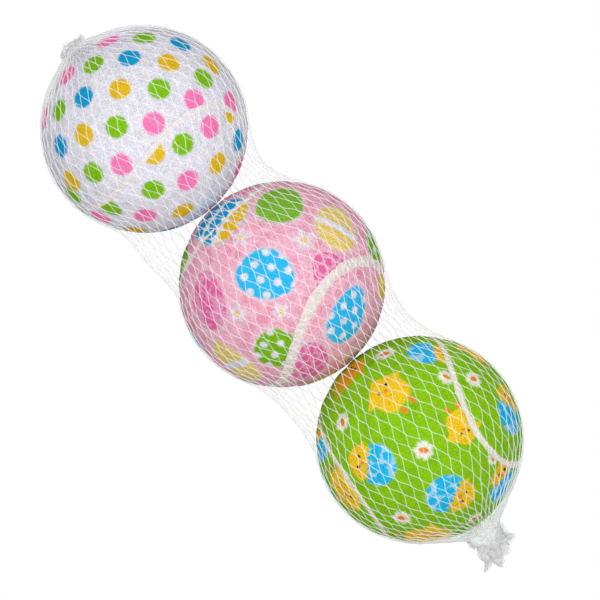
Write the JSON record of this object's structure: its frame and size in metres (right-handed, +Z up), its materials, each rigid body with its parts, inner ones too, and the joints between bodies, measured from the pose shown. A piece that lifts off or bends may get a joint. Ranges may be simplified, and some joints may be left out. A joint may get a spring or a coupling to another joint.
{
  "type": "net pack of felt play balls",
  "caption": "Row of printed felt-covered play balls held in a white knitted plastic net tube that is gathered and knotted at its ends.",
  "frame": {"origin": "middle of the underside of the pack's bounding box, on the floor it lies on", "axes": "+X along the row of balls, from the white ball to the green ball; +Z up; +Y completes the right-handed set"},
  "size_m": [0.2192, 0.0676, 0.0675],
  "materials": {
    "core_rubber": "moulded natural rubber, matt",
    "white_felt": "white felt printed with round dots in four colours",
    "pink_felt": "pink felt printed with decorated eggs and white flowers",
    "green_felt": "green felt printed with chicks, eggs and daisies",
    "white_seam": "soft cream seam bead",
    "pink_seam": "soft cream seam bead, crinkled",
    "green_seam": "soft cream seam bead",
    "net_plastic": "translucent white polyethylene filament",
    "gathered_net": "many layers of the net bunched together, nearly opaque"
  },
  "bodies": {
    "middle_net": {"net_middle_pocket": "net_plastic"},
    "white_ball": {"white_ball_core_half_1": "core_rubber", "white_ball_core_half_2": "core_rubber", "white_ball_felt_panel_1": "white_felt", "white_ball_felt_panel_2": "white_felt", "white_ball_seam": "white_seam"},
    "pink_ball": {"pink_ball_core_half_1": "core_rubber", "pink_ball_core_half_2": "core_rubber", "pink_ball_felt_panel_1": "pink_felt", "pink_ball_felt_panel_2": "pink_felt", "pink_ball_seam": "pink_seam"},
    "green_ball": {"green_ball_core_half_1": "core_rubber", "green_ball_core_half_2": "core_rubber", "green_ball_felt_panel_1": "green_felt", "green_ball_felt_panel_2": "green_felt", "green_ball_seam": "green_seam"},
    "upper_waist": {"net_upper_waist": "net_plastic"},
    "upper_net": {"net_upper_pocket": "net_plastic", "net_upper_neck": "net_plastic"},
    "upper_tail": {"upper_tail_seal": "gathered_net", "upper_tail_tuft": "gathered_net"},
    "lower_waist": {"net_lower_waist": "net_plastic"},
    "lower_net": {"net_lower_pocket": "net_plastic", "net_lower_neck": "net_plastic"},
    "lower_tail": {"lower_tail_knot": "gathered_net", "lower_tail_tuft": "gathered_net"}
  },
  "joints": [
    {"name": "pink_ball_spin", "type": "hinge", "parent": "middle_net", "child": "pink_ball", "pos_m": [-0.00418, 0, 0.03377], "axis": [1, 0, 0], "continuous": true},
    {"name": "upper_lift", "type": "hinge", "parent": "middle_net", "child": "upper_waist", "pos_m": [-0.00418, 0, 0.03377], "axis": [0, 1, 0], "range_deg": [-25, 25], "deforming": ["net_upper_waist"]},
    {"name": "upper_swing", "type": "hinge", "parent": "upper_waist", "child": "upper_net", "pos_m": [-0.00418, 0, 0.03377], "axis": [0, 0, 1], "range_deg": [-25, 25], "deforming": ["net_upper_waist"]},
    {"name": "white_ball_spin", "type": "hinge", "parent": "upper_net", "child": "white_ball", "pos_m": [-0.06978, 0, 0.03377], "axis": [1, 0, 0], "continuous": true},
    {"name": "upper_tail_bend", "type": "hinge", "parent": "upper_net", "child": "upper_tail", "pos_m": [-0.10438, 0, 0.03377], "axis": [0, 0, 1], "range_deg": [-30, 30], "deforming": ["net_upper_neck"]},
    {"name": "lower_lift", "type": "hinge", "parent": "middle_net", "child": "lower_waist", "pos_m": [-0.00418, 0, 0.03377], "axis": [0, 1, 0], "range_deg": [-25, 25], "deforming": ["net_lower_waist"]},
    {"name": "lower_swing", "type": "hinge", "parent": "lower_waist", "child": "lower_net", "pos_m": [-0.00418, 0, 0.03377], "axis": [0, 0, 1], "range_deg": [-25, 25], "deforming": ["net_lower_waist"]},
    {"name": "green_ball_spin", "type": "hinge", "parent": "lower_net", "child": "green_ball", "pos_m": [0.06142, 0, 0.03377], "axis": [1, 0, 0], "continuous": true},
    {"name": "lower_tail_bend", "type": "hinge", "parent": "lower_net", "child": "lower_tail", "pos_m": [0.09722, -0.00376, 0.03377], "axis": [0, 0, 1], "range_deg": [-30, 30], "deforming": ["net_lower_neck"]}
  ]
}
